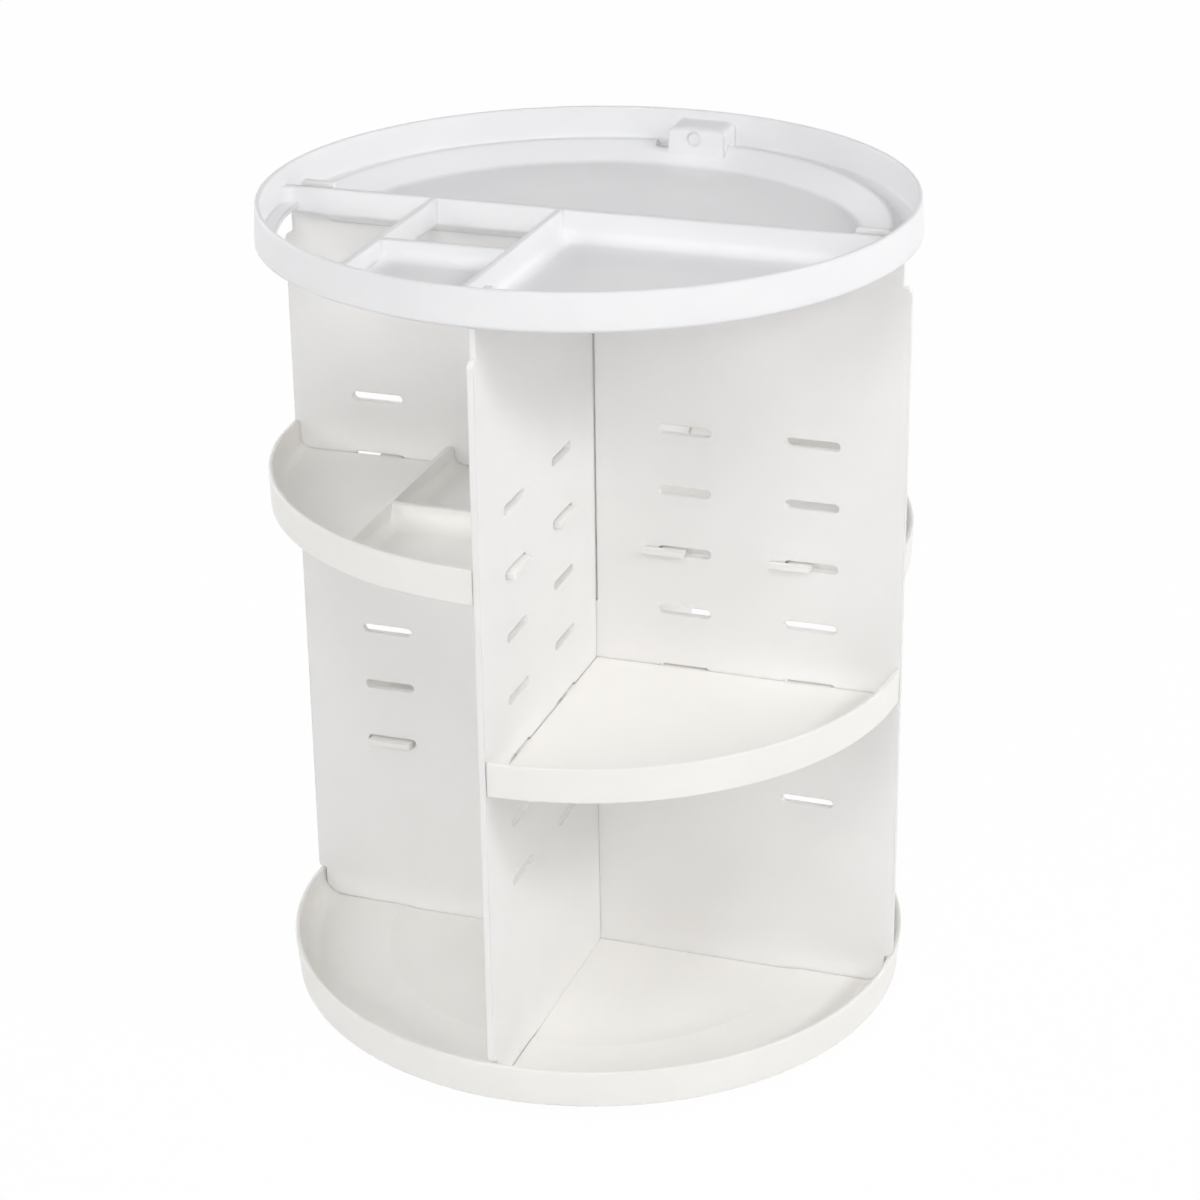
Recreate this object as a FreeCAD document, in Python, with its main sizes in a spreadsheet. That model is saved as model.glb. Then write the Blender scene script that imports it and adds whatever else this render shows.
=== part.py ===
import FreeCAD, Part
import math
import os
import Sketcher

# A make-up carousel: a turntable base, two crossing slotted panels, four hook-in quarter
# shelves and a lift-off top tray.  The origin is the centre of the footprint on the table.
# Panel A lies along X and panel B along Y; +Z is up and the front is -Y.  Millimetres.

SIZES = (
    # overall plan
    ("CarouselRadius", 118.0, "radius of the panels' long edges and of every rim"),
    ("EdgeRound", 0.6, "small rounding on the moulded rims"),
    # turntable
    ("FootProud", 1.6, "how far the rubber feet stand below the foot disc"),
    ("FootRadius", 7.0, "radius of a rubber foot"),
    ("FootSeatDepth", 1.0, "depth of a foot's seat in the disc"),
    ("FootSeatGap", 0.05, "radial gap round a foot in its seat"),
    ("FootCircle", 76.0, "radius of the circle through the feet"),
    ("DiscThickness", 2.4, "plate of the foot disc"),
    ("DiscMargin", 6.2, "foot disc edge beyond the ball race"),
    ("LipWidth", 1.6, "raised lip round the foot disc"),
    ("LipRise", 2.6, "height of that lip above the plate"),
    ("RaceRadius", 94.0, "radius of the ball race"),
    ("BallDiameter", 5.0, "bearing ball"),
    ("BallCount", 24, "number of bearing balls"),
    ("BallPlay", 0.05, "gap between a ball and its grooves"),
    ("RaceDepth", 0.5, "depth of each ball groove"),
    ("CageWidth", 8.6, "radial width of the ball cage"),
    ("CageThickness", 1.8, "thickness of the ball cage"),
    ("CagePocketGap", 0.15, "radial gap round a ball in the cage"),
    ("PivotRadius", 7.0, "centre boss of the base tray"),
    ("PivotPlay", 0.08, "radial running gap of the boss in the hub"),
    ("HubWall", 4.0, "wall of the foot disc's hub"),
    ("HubTopGap", 0.4, "hub top below the base tray"),
    ("RecessDepth", 1.2, "washer recess under the foot disc"),
    ("WasherRadius", 9.5, "retaining washer"),
    ("WasherThickness", 0.7, "retaining washer"),
    ("WasherPlay", 0.1, "axial play between washer and foot disc"),
    ("RecessMargin", 1.5, "washer recess beyond the washer"),
    ("ScrewRadius", 1.5, "pivot screw shank"),
    ("ScrewFit", 0.02, "radial gap of the screw in its hole"),
    ("ScrewHeadRadius", 3.2, "pivot screw head"),
    ("ScrewHeadHeight", 1.3, "pivot screw head"),
    ("ScrewHeadRound", 0.5, "rounding of the pivot screw's head"),
    ("ScrewReach", 5.2, "shank above the washer"),
    ("DriveWidth", 0.9, "arm of the screw's cross recess"),
    ("DriveSpan", 3.6, "span of the screw's cross recess"),
    ("DriveDepth", 0.8, "depth of the screw's cross recess"),
    # base tray
    ("BaseFloor", 2.2, "floor thickness of the base tray"),
    ("BaseRimHeight", 15.0, "height of the base rim"),
    ("BaseRimDrop", 2.0, "base rim below the tray's underside"),
    ("BaseRimWall", 2.0, "wall of the base rim"),
    ("BaseRimTaper", 1.4, "how much the base rim narrows downwards"),
    ("BaseFillet", 8.0, "hollow between the base floor and rim"),
    ("CentreDrop", 1.0, "centre floor below the outer ring of floor"),
    ("StepInset", 12.0, "edge of the outer ring of floor inside the ball race"),
    ("DishWidth", 7.0, "slope from the centre floor up to that edge"),
    ("DishRound", 88.0, "hollow between the centre floor and the slope"),
    # panels
    ("PanelThickness", 2.5, "both panels"),
    ("PanelHeight", 282.7, "panel from its foot to its top edge"),
    ("NeckInset", 3.0, "how much each side steps in at top and foot"),
    ("NeckGap", 0.4, "gap between a neck and the end of its slot"),
    ("ShoulderGap", 0.5, "shoulder above the base rim"),
    ("TopShoulderDrop", 5.6, "upper shoulder below the top edge"),
    ("ShoulderRound", 2.6, "rounding of the shoulders"),
    ("NeckRise", 5.0, "outer part of the neck above the top edge"),
    ("TabInset", 7.6, "outer side of a top tab inside the long edge"),
    ("TabWidth", 12.8, "width of a top tab"),
    ("BackTabWidth", 6.8, "width of panel B's back tab"),
    ("TabHeight", 14.4, "top tab above the top edge"),
    ("TabRound", 1.2, "rounding of the tab's corners"),
    ("TabGap", 0.3, "gap round a tab in the top tray"),
    ("BaseSlotGap", 0.3, "gap beside a panel in the base tray"),
    ("NotchHeight", 144.8, "where the two panels' notches meet, above their foot"),
    ("NotchGapUpper", 0.65, "gap beside panel B in panel A's notch"),
    ("NotchGapLower", 0.2, "gap beside panel A in panel B's notch"),
    ("NotchEndGap", 0.1, "gap between the ends of the notches"),
    ("SlotLength", 20.0, "shelf slot"),
    ("SlotHeight", 3.4, "shelf slot"),
    ("SlotInner", 35.9, "inner column of slots from the centre"),
    ("SlotSpacing", 48.0, "between the two columns of slots"),
    ("FirstRow", 73.4, "lowest row of slots above the panel's foot"),
    ("RowPitch", 23.73, "between rows of slots"),
    ("RowCount", 7, "rows of slots"),
    # quarter shelves
    ("ShelfFloor", 2.4, "floor, hooks and tongues of a shelf"),
    ("ShelfSeatGap", 0.12, "shelf floor above the slot's lower edge"),
    ("ShelfRimHeight", 13.2, "rim of a shelf"),
    ("ShelfRimWall", 1.9, "wall of that rim"),
    ("ShelfRimTaper", 0.4, "how much that rim narrows downwards"),
    ("ShelfFillet", 4.0, "hollow between shelf floor and rim"),
    ("ShelfPanelGap", 0.3, "shelf edge from the panel's face"),
    ("HookNeck", 8.8, "part of a hook inside its slot"),
    ("HookEndGap", 1.3, "hook neck from the slot's inner end"),
    ("HookToe", 6.8, "toe of a hook beyond its neck"),
    ("HookThickness", 2.2, "toe behind the panel"),
    ("TongueWidth", 17.0, "tongue in its slot"),
    ("TongueReach", 3.2, "tongue beyond the panel's far face"),
    ("ShelfDividerDrop", 3.0, "divider top below the shelf's rim"),
    ("LongDividerPlace", 53.5, "near face of the long divider from the centre"),
    ("CrossDividerPlace", 60.6, "near face of the cross divider from the centre"),
    ("DividerWall", 2.0, "all dividers"),
    ("DividerEndRound", 3.4, "rounding of the long divider's free end"),
    ("LongDividerCove", 4.0, "hollow at the long divider's foot, towards the centre"),
    # top tray
    ("RestGap", 0.1, "top tray above the panels' top edges"),
    ("TopFloor", 2.0, "floor of the top tray"),
    ("TopDepth", 17.4, "top rim above that floor"),
    ("TopRimHeight", 13.0, "height of the top rim"),
    ("TopRimWall", 1.8, "wall of the top rim"),
    ("TopRimTaper", 0.7, "how much the top rim narrows upwards"),
    ("TopOversail", 0.3, "top rim beyond the panels"),
    ("FlangeDrop", 1.2, "flange below the top rim's lower edge"),
    ("FlangeThickness", 1.8, "flange inside the rim"),
    ("FlangeInset", 2.7, "outer edge of the flange's underside inside the rim"),
    ("FlangeReach", 5.0, "flange width left round the open compartments"),
    ("ChannelGap", 5.8, "channel between rim and crest"),
    ("CrestWidth", 2.6, "outer slope of the crest"),
    ("CrestHeight", 8.0, "crest above the top tray's floor"),
    ("CrestRound", 1.6, "rounding of the crest"),
    ("CrestWallInside", 0.65, "wall of the crest towards the bowl, measured across"),
    ("CrestWallOutside", 0.95, "wall of the crest towards the channel, measured across"),
    ("CrestWallTop", 2.6, "wall over the hollow under the crest"),
    ("BowlWallShift", 0.65, "where that hollow begins outside the bowl"),
    ("BowlSlope", 9.6, "width of the slope down to the floor"),
    ("BowlRound", 3.0, "hollow where that slope meets the floor"),
    ("TopDividerHeight", 11.0, "dividers above the top tray's floor"),
    ("TopDividerFoot", 1.3, "dividers in the open part begin this far above the floor"),
    ("MainDividerPlace", 3.0, "main divider's back face in front of the centre"),
    ("RightDividerPlace", 8.0, "right face of the right divider, left of the centre"),
    ("LeftDividerPlace", 56.0, "right face of the left divider, left of the centre"),
    ("TopCrossPlace", 54.5, "back face of the top cross divider, in front of the centre"),
    ("PocketFloorRise", 2.2, "underside of the raised compartment floor above the main floor"),
    ("PocketFloor", 1.8, "raised compartment floor"),
    ("TopFillet", 4.4, "hollow at the foot of the top tray's dividers"),
    ("UndercutReach", 1.5, "foot of the slope under the main divider in front of the centre"),
    ("KeyBlockLeft", 3.1, "left end of the block round panel B's back tab, from the centre"),
    ("KeyBlockWidth", 23.0, "width of that block"),
    ("KeyBlockWall", 1.4, "wall of that block before and over the tab"),
    ("KeyBlockRound", 2.8, "rounding of that block"),
    ("KeyNotchWidth", 5.6, "notch in the crest beside that block"),
    ("KeyNotchInset", 3.0, "front edge of that notch inside the crest"),
    ("KeyDimplePlace", 10.2, "dimple from the left end of that block"),
    ("KeyDimpleDrop", 4.2, "dimple below the top of that block"),
    ("KeyDimpleRadius", 2.6, "dimple in that block"),
    ("KeyDimpleDepth", 0.7, "dimple in that block"),
)

DOCUMENT = FreeCAD.newDocument("MakeUpCarousel")
SHEET = DOCUMENT.addObject("Spreadsheet::Sheet", "Sizes")
SUBPARTS = []
UP = FreeCAD.Vector(0, 0, 1)
CUT_MARGIN = 20.0
COVE_SHARE = 1.1
SCOOP_SHARE = 0.95


class Measure:
    """A length that carries its number and the sheet expression that gives it."""

    def __init__(self, value, text):
        self.value = float(value)
        self.text = text

    def __add__(self, other):
        other = measure(other)
        return Measure(self.value + other.value, "(%s + %s)" % (self.text, other.text))

    def __sub__(self, other):
        other = measure(other)
        return Measure(self.value - other.value, "(%s - %s)" % (self.text, other.text))

    def __mul__(self, factor):
        return Measure(self.value * factor, "(%s * %s)" % (self.text, factor))

    def __truediv__(self, factor):
        return Measure(self.value / factor, "(%s / %s)" % (self.text, factor))

    def __neg__(self):
        return Measure(-self.value, "(0 - %s)" % self.text)


def measure(thing):
    """A Measure as it is, or a plain number as one."""
    if isinstance(thing, Measure):
        return thing
    return Measure(thing, repr(float(thing)))


def other_leg(hypotenuse, leg):
    """The third side of a right triangle."""
    value = math.sqrt(hypotenuse.value ** 2 - leg.value ** 2)
    return Measure(value, "sqrt(%s ^ 2 - %s ^ 2)" % (hypotenuse.text, leg.text))


def fill_sheet():
    """Write the driving sizes to the sheet and return them as Measures by name."""
    found = {}
    for row, (name, value, note) in enumerate(SIZES, start=1):
        SHEET.set("A%d" % row, name)
        SHEET.set("B%d" % row, str(value))
        SHEET.set("C%d" % row, note)
        SHEET.setAlias("B%d" % row, name)
        found[name] = Measure(value, "Sizes." + name)
    DOCUMENT.recompute()
    return found


D = fill_sheet()
ZERO = measure(0)


# ---------------------------------------------------------------- places worked out from sizes

DISC_BOTTOM = D["FootProud"]
DISC_TOP = DISC_BOTTOM + D["DiscThickness"]
BALL_CENTRE = DISC_TOP - D["RaceDepth"] + D["BallDiameter"] / 2
BASE_UNDER = DISC_TOP + D["BallDiameter"] - D["RaceDepth"] * 2
BASE_TOP = BASE_UNDER + D["BaseFloor"]
CENTRE_TOP = BASE_TOP - D["CentreDrop"]
CENTRE_UNDER = CENTRE_TOP - D["BaseFloor"]
STEP_RADIUS = D["RaceRadius"] - D["StepInset"]
BASE_RIM_BOTTOM = BASE_UNDER - D["BaseRimDrop"]
BASE_RIM_TOP = BASE_RIM_BOTTOM + D["BaseRimHeight"]
FOOT_DISC_RADIUS = D["RaceRadius"] + D["DiscMargin"]
RECESS_TOP = DISC_BOTTOM + D["RecessDepth"]
BOSS_BOTTOM = RECESS_TOP - D["WasherPlay"]

PANEL_FOOT = CENTRE_TOP
PANEL_TOP = PANEL_FOOT + D["PanelHeight"]
HALF_WIDTH = D["CarouselRadius"]
NECK_HALF = HALF_WIDTH - D["NeckInset"]
LOW_SHOULDER = BASE_RIM_TOP + D["ShoulderGap"]
HIGH_SHOULDER = PANEL_TOP - D["TopShoulderDrop"]
TAB_OUTER = HALF_WIDTH - D["TabInset"]
TAB_INNER = TAB_OUTER - D["TabWidth"]
BACK_TAB_INNER = TAB_OUTER - D["BackTabWidth"]
TAB_TOP = PANEL_TOP + D["TabHeight"]
HALF_PANEL = D["PanelThickness"] / 2
NOTCH_LEVEL = PANEL_FOOT + D["NotchHeight"]

SHELF_EDGE = HALF_PANEL + D["ShelfPanelGap"]
SHELF_UNDER = D["ShelfSeatGap"] - D["SlotHeight"] / 2
SHELF_TOP = SHELF_UNDER + D["ShelfFloor"]
SHELF_RIM_TOP = SHELF_UNDER + D["ShelfRimHeight"]
SLOT_COLUMNS = (D["SlotInner"], D["SlotInner"] + D["SlotSpacing"])

TOP_UNDER = PANEL_TOP + D["RestGap"]
TOP_FLOOR = TOP_UNDER + D["TopFloor"]
TOP_RIM_TOP = TOP_FLOOR + D["TopDepth"]
TOP_RIM_BOTTOM = TOP_RIM_TOP - D["TopRimHeight"]
TOP_RIM_OUTER = HALF_WIDTH + D["TopOversail"]
TOP_RIM_INNER = TOP_RIM_OUTER - D["TopRimTaper"] - D["TopRimWall"]
FLANGE_UNDER = TOP_RIM_BOTTOM - D["FlangeDrop"]
FLANGE_TOP = FLANGE_UNDER + D["FlangeThickness"]
CREST_FOOT = TOP_RIM_INNER - D["ChannelGap"]
CREST_RADIUS = CREST_FOOT - D["CrestWidth"]
BOWL_RADIUS = CREST_RADIUS - D["BowlSlope"]
CREST_TOP = TOP_FLOOR + D["CrestHeight"]
TOP_DIVIDER_TOP = TOP_FLOOR + D["TopDividerHeight"]
TOP_DIVIDER_FOOT = TOP_FLOOR + D["TopDividerFoot"]
TOP_RIM_MIDDLE = TOP_RIM_INNER + D["TopRimWall"] / 2
TOP_FLANGE_MIDDLE = TOP_RIM_INNER - D["FlangeReach"] / 2
MAIN_DIVIDER_FRONT = -(D["MainDividerPlace"] + D["DividerWall"])
RIGHT_DIVIDER_FAR = -(D["RightDividerPlace"] + D["DividerWall"])
TOP_CROSS_FRONT = -(D["TopCrossPlace"] + D["DividerWall"])
RAISED_FLOOR_UNDER = TOP_FLOOR + D["PocketFloorRise"]
KEY_BLOCK_FRONT = BACK_TAB_INNER - D["TabGap"] - D["KeyBlockWall"]
KEY_BLOCK_TOP = TAB_TOP + D["TabGap"] + D["KeyBlockWall"]
KEY_BLOCK_LEFT = -D["KeyBlockLeft"]


# ---------------------------------------------------------------- drawing and feature helpers

def bind(thing, name, length):
    """Set a property to a length and tie it to the sheet."""
    setattr(thing, name, length.value)
    thing.setExpression(name, length.text)


def new_body(label):
    """Start a sub-part: a body whose label names its file."""
    body = DOCUMENT.addObject("PartDesign::Body", label)
    body.Label = label
    SUBPARTS.append(body)
    return body


def origin_part(body, role):
    """One of the body's own origin planes or axes."""
    return next(item for item in body.Origin.OriginFeatures if item.Role == role)


def new_sketch(body, name, role="XY_Plane", height=ZERO):
    """A sketch on one of the body's origin planes, raised from it by a height."""
    sketch = body.newObject("Sketcher::SketchObject", name)
    sketch.AttachmentSupport = (origin_part(body, role), [""])
    sketch.MapMode = "FlatFace"
    sketch.setExpression("AttachmentOffset.Base.z", height.text)
    return sketch


def pin(sketch, geometry, point, x, y):
    """Tie a point of the sketch to the origin; a plain number is only a first guess."""
    for kind, length in (("DistanceX", x), ("DistanceY", y)):
        if isinstance(length, Measure):
            place = Sketcher.Constraint(kind, -1, 1, geometry, point, length.value)
            index = sketch.addConstraint(place)
            sketch.setExpression("Constraints[%d]" % index, length.text)


def guess(length):
    """The number of a Measure or of a plain first guess."""
    return length.value if isinstance(length, Measure) else float(length)


def bind_radius(sketch, arc, radius):
    """Give an arc or a circle a bound radius."""
    index = sketch.addConstraint(Sketcher.Constraint("Radius", arc, radius.value))
    sketch.setExpression("Constraints[%d]" % index, radius.text)


def ring_arc(start, end, centre, radius, leftwards):
    """An arc and the numbers of its points at the given start and end."""
    angles = [math.atan2(point.y - centre.y, point.x - centre.x) for point in (start, end)]
    if not leftwards:
        angles.reverse()
    arc = Part.ArcOfCircle(Part.Circle(centre, UP, radius), angles[0], angles[1])
    return arc, (1, 2) if leftwards else (2, 1)


def corner_round(before, corner, after, radius):
    """Where a rounding of a corner leaves its first side, meets its second, and its centre."""
    first = (before - corner).normalize()
    second = (after - corner).normalize()
    half_turn = first.getAngle(second) / 2
    reach = radius / math.tan(half_turn)
    middle = (first + second).normalize() * (radius / math.sin(half_turn))
    return corner + first * reach, corner + second * reach, corner + middle


def draw_outline(sketch, corners, arcs=None, rounds=None):
    """Draw a closed ring of sides, tied to the sheet at every corner.

    arcs maps a side's number to a radius about the origin, and the ends of such a side are
    bound in one direction only.  rounds maps a corner's number to the radius of its rounding.
    """
    arcs = arcs or {}
    rounds = rounds or {}
    count = len(corners)
    places = [FreeCAD.Vector(guess(x), guess(y), 0) for x, y in corners]
    leaves = list(places)
    meets = list(places)
    centres = {}
    for number, radius in rounds.items():
        meets[number], leaves[number], centres[number] = corner_round(
            places[number - 1], places[number], places[(number + 1) % count], radius.value)
    sides = []
    for side in range(count):
        start = leaves[side]
        end = meets[(side + 1) % count]
        if side in arcs:
            leftwards = start.cross(end).z > 0
            shape, points = ring_arc(start, end, FreeCAD.Vector(), arcs[side].value, leftwards)
        else:
            shape, points = Part.LineSegment(start, end), (1, 2)
        sides.append((sketch.addGeometry(shape, False), points))
    for number, (x, y) in enumerate(corners):
        arriving, leaving = sides[number - 1], sides[number]
        if number not in rounds:
            join = Sketcher.Constraint("Coincident", arriving[0], arriving[1][1],
                                       leaving[0], leaving[1][0])
            sketch.addConstraint(join)
            pin(sketch, leaving[0], leaving[1][0], x, y)
            continue
        turn = (places[number] - places[number - 1]).cross(leaves[number] - places[number]).z
        shape, points = ring_arc(meets[number], leaves[number], centres[number],
                                 rounds[number].value, turn > 0)
        arc = sketch.addGeometry(shape, False)
        spot = sketch.addGeometry(Part.Point(places[number]), True)
        sketch.addConstraint(Sketcher.Constraint("Tangent", arriving[0], arriving[1][1],
                                                 arc, points[0]))
        sketch.addConstraint(Sketcher.Constraint("Tangent", arc, points[1],
                                                 leaving[0], leaving[1][0]))
        for side in (arriving, leaving):
            sketch.addConstraint(Sketcher.Constraint("PointOnObject", spot, 1, side[0]))
        bind_radius(sketch, arc, rounds[number])
        pin(sketch, spot, 1, x, y)
    for side, radius in arcs.items():
        sketch.addConstraint(Sketcher.Constraint("Coincident", sides[side][0], 3, -1, 1))
        bind_radius(sketch, sides[side][0], radius)


def draw_box(sketch, left, right, low, high):
    """Draw a rectangle between four bound sides."""
    draw_outline(sketch, ((left, low), (right, low), (right, high), (left, high)))


def draw_circle(sketch, x, y, radius):
    """Draw a circle with a bound centre and radius."""
    centre = FreeCAD.Vector(x.value, y.value, 0)
    circle = sketch.addGeometry(Part.Circle(centre, UP, radius.value), False)
    pin(sketch, circle, 3, x, y)
    bind_radius(sketch, circle, radius)


def draw_slot(sketch, x, y, length, height):
    """Draw a slot with round ends, lying along the sketch's horizontal."""
    reach = (length - height) / 2
    radius = height / 2
    top = y.value + radius.value
    bottom = y.value - radius.value
    sides = []
    for sign, begin in ((-1, math.pi / 2), (1, -math.pi / 2)):
        centre = FreeCAD.Vector(x.value + sign * reach.value, y.value, 0)
        circle = Part.Circle(centre, UP, radius.value)
        sides.append(sketch.addGeometry(Part.ArcOfCircle(circle, begin, begin + math.pi), False))
    left = x.value - reach.value
    right = x.value + reach.value
    upper = sketch.addGeometry(Part.LineSegment(FreeCAD.Vector(left, top, 0),
                                                FreeCAD.Vector(right, top, 0)), False)
    lower = sketch.addGeometry(Part.LineSegment(FreeCAD.Vector(right, bottom, 0),
                                                FreeCAD.Vector(left, bottom, 0)), False)
    near, far = sides
    for joint in ((near, 1, upper, 1), (upper, 2, far, 2), (far, 1, lower, 1), (lower, 2, near, 2)):
        sketch.addConstraint(Sketcher.Constraint("Tangent", *joint))
    pin(sketch, near, 3, x - reach, y)
    pin(sketch, far, 3, x + reach, y)
    for arc in sides:
        bind_radius(sketch, arc, radius)


def settle(body, feature):
    """Recompute and make the new feature the body's tip."""
    DOCUMENT.recompute()
    body.Tip = feature
    return feature


def pad(body, sketch, length, both_ways=False):
    """Raise a sketch by a length, up from its plane or equally to both sides of it."""
    feature = body.newObject("PartDesign::Pad", sketch.Name + "_pad")
    feature.Profile = sketch
    feature.SideType = "Symmetric" if both_ways else "One side"
    bind(feature, "Length", length)
    return settle(body, feature)


def cut(body, sketch, length, upwards=True, both_ways=False):
    """Cut a sketch away; the volume has to fall."""
    before = body.Shape.Volume
    feature = body.newObject("PartDesign::Pocket", sketch.Name + "_cut")
    feature.Profile = sketch
    feature.SideType = "Symmetric" if both_ways else "One side"
    feature.Reversed = upwards
    bind(feature, "Length", length)
    settle(body, feature)
    if body.Shape.Volume > before - 1e-6:
        raise RuntimeError(feature.Name + " cuts nothing")
    return feature


def revolve(body, sketch):
    """Turn a section once round the body's Z axis."""
    feature = body.newObject("PartDesign::Revolution", sketch.Name + "_turned")
    feature.Profile = sketch
    feature.ReferenceAxis = (origin_part(body, "Z_Axis"), [""])
    feature.Angle = 360.0
    return settle(body, feature)


def groove(body, sketch):
    """Cut a section away once round the body's Z axis; the volume has to fall."""
    before = body.Shape.Volume
    feature = body.newObject("PartDesign::Groove", sketch.Name + "_groove")
    feature.Profile = sketch
    feature.ReferenceAxis = (origin_part(body, "Z_Axis"), [""])
    feature.Angle = 360.0
    settle(body, feature)
    if body.Shape.Volume > before - 1e-6:
        raise RuntimeError(feature.Name + " cuts nothing")
    return feature


def polar_pattern(body, original, count):
    """Repeat a feature evenly round the body's Z axis."""
    feature = body.newObject("PartDesign::PolarPattern", original.Name + "_ring")
    feature.Originals = [original]
    feature.Axis = (origin_part(body, "Z_Axis"), [""])
    feature.Angle = 360.0
    feature.Occurrences = int(count.value)
    feature.setExpression("Occurrences", count.text)
    return settle(body, feature)


def round_edges(body, radius, wanted):
    """Round every edge of the body that the test picks; at least one has to be found."""
    base = body.Tip
    names = ["Edge%d" % number for number, edge in enumerate(base.Shape.Edges, start=1)
             if wanted(edge)]
    if not names:
        raise RuntimeError("no edge to round on " + body.Label)
    feature = body.newObject("PartDesign::Fillet", body.Name + "_round")
    feature.Base = (base, names)
    bind(feature, "Radius", radius)
    return settle(body, feature)


def add_cove(body, name, role, corner, side, floor, rise, radius, start, length):
    """A strip with a hollow face in the corner of a wall and a floor.

    side and rise are 1 or -1: where the hollow lies from the wall and from the floor.  The strip
    runs from start on along the normal of its plane.
    """
    reach = radius * COVE_SHARE
    sunk = D["DividerWall"] / 2
    section = new_sketch(body, name, role, start)
    draw_outline(section, (
        (corner - sunk * side, floor - sunk * rise),
        (corner + reach * side, floor - sunk * rise),
        (corner + reach * side, floor),
        (corner, floor),
        (corner, floor + reach * rise),
        (corner - sunk * side, floor + reach * rise),
    ), rounds={3: radius})
    pad(body, section, length)


def close_to(value, length):
    return abs(value - length.value) < 1e-4


def ring_at(radius, height):
    """Test for the round edges of one radius at one height."""
    def wanted(edge):
        curve = edge.Curve
        return (isinstance(curve, Part.Circle) and close_to(curve.Radius, radius)
                and close_to(curve.Center.z, height))
    return wanted


# ---------------------------------------------------------------- turntable

def make_foot_disc():
    """The round plate that stays still: lip, hub, ball groove and the seats of its feet."""
    body = new_body("foot_disc")
    section = new_sketch(body, "foot_disc_section", "XZ_Plane")
    bore = D["PivotRadius"] + D["PivotPlay"]
    hub = bore + D["HubWall"]
    hub_top = CENTRE_UNDER - D["HubTopGap"]
    lip_top = DISC_TOP + D["LipRise"]
    recess = D["WasherRadius"] + D["RecessMargin"]
    draw_outline(section, (
        (bore, RECESS_TOP),
        (recess, RECESS_TOP),
        (recess, DISC_BOTTOM),
        (FOOT_DISC_RADIUS, DISC_BOTTOM),
        (FOOT_DISC_RADIUS, lip_top),
        (FOOT_DISC_RADIUS - D["LipWidth"], lip_top),
        (FOOT_DISC_RADIUS - D["LipWidth"], DISC_TOP),
        (hub, DISC_TOP),
        (hub, hub_top),
        (bore, hub_top),
    ), rounds={3: D["EdgeRound"]})
    revolve(body, section)
    race = new_sketch(body, "lower_race", "XZ_Plane")
    draw_circle(race, D["RaceRadius"], BALL_CENTRE, D["BallDiameter"] / 2 + D["BallPlay"])
    groove(body, race)
    seats = new_sketch(body, "foot_seats", height=DISC_BOTTOM)
    for _, x, y in foot_places():
        draw_circle(seats, x, y, D["FootRadius"] + D["FootSeatGap"])
    cut(body, seats, D["FootSeatDepth"])


def foot_places():
    """Name and centre of each rubber foot, on the diagonals."""
    arm = D["FootCircle"] * math.sqrt(0.5)
    return (("front_left", -arm, -arm), ("front_right", arm, -arm),
            ("back_right", arm, arm), ("back_left", -arm, arm))


def make_rubber_feet():
    """Four round pads pressed into the foot disc's underside."""
    for name, x, y in foot_places():
        body = new_body("rubber_foot_" + name)
        plan = new_sketch(body, "foot_plan_" + name)
        draw_circle(plan, x, y, D["FootRadius"])
        pad(body, plan, D["FootProud"] + D["FootSeatDepth"])
        round_edges(body, D["EdgeRound"], ring_at(D["FootRadius"], ZERO))


def make_ball_cage():
    """The flat ring that keeps the balls apart."""
    body = new_body("ball_cage")
    half = D["CageWidth"] / 2
    plan = new_sketch(body, "cage_ring", height=BALL_CENTRE - D["CageThickness"] / 2)
    draw_circle(plan, ZERO, ZERO, D["RaceRadius"] + half)
    draw_circle(plan, ZERO, ZERO, D["RaceRadius"] - half)
    pad(body, plan, D["CageThickness"])
    pocket = new_sketch(body, "cage_pocket", height=BALL_CENTRE - D["CageThickness"] / 2)
    draw_circle(pocket, D["RaceRadius"], ZERO, D["BallDiameter"] / 2 + D["CagePocketGap"])
    polar_pattern(body, cut(body, pocket, D["CageThickness"]), D["BallCount"])


def make_bearing_balls():
    """The ring of steel balls, each a separate solid."""
    body = new_body("bearing_balls")
    ball = body.newObject("PartDesign::AdditiveSphere", "ball")
    bind(ball, "Radius", D["BallDiameter"] / 2)
    ball.setExpression("Placement.Base.x", D["RaceRadius"].text)
    ball.setExpression("Placement.Base.z", BALL_CENTRE.text)
    settle(body, ball)
    polar_pattern(body, ball, D["BallCount"])


def make_pivot_washer():
    """The plain washer that keeps the foot disc on the base tray's boss."""
    body = new_body("pivot_washer")
    plan = new_sketch(body, "washer_plan", height=BOSS_BOTTOM - D["WasherThickness"])
    draw_circle(plan, ZERO, ZERO, D["WasherRadius"])
    draw_circle(plan, ZERO, ZERO, D["ScrewRadius"] + D["ScrewFit"])
    pad(body, plan, D["WasherThickness"])


def make_pivot_screw():
    """The pan-head screw driven up into the base tray's boss."""
    body = new_body("pivot_screw")
    seat = BOSS_BOTTOM - D["WasherThickness"]
    head = seat - D["ScrewHeadHeight"]
    section = new_sketch(body, "screw_section", "XZ_Plane")
    draw_outline(section, (
        (ZERO, head),
        (D["ScrewHeadRadius"], head),
        (D["ScrewHeadRadius"], seat),
        (D["ScrewRadius"], seat),
        (D["ScrewRadius"], BOSS_BOTTOM + D["ScrewReach"] - D["ScrewRadius"]),
        (ZERO, BOSS_BOTTOM + D["ScrewReach"]),
    ), rounds={1: D["ScrewHeadRound"]})
    revolve(body, section)
    long = D["DriveSpan"] / 2
    slim = D["DriveWidth"] / 2
    for number, (half_x, half_y) in enumerate(((long, slim), (slim, long))):
        arm = new_sketch(body, "drive_arm_%d" % number, height=head)
        draw_box(arm, -half_x, half_x, -half_y, half_y)
        cut(body, arm, D["DriveDepth"])


# ---------------------------------------------------------------- base tray

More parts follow.
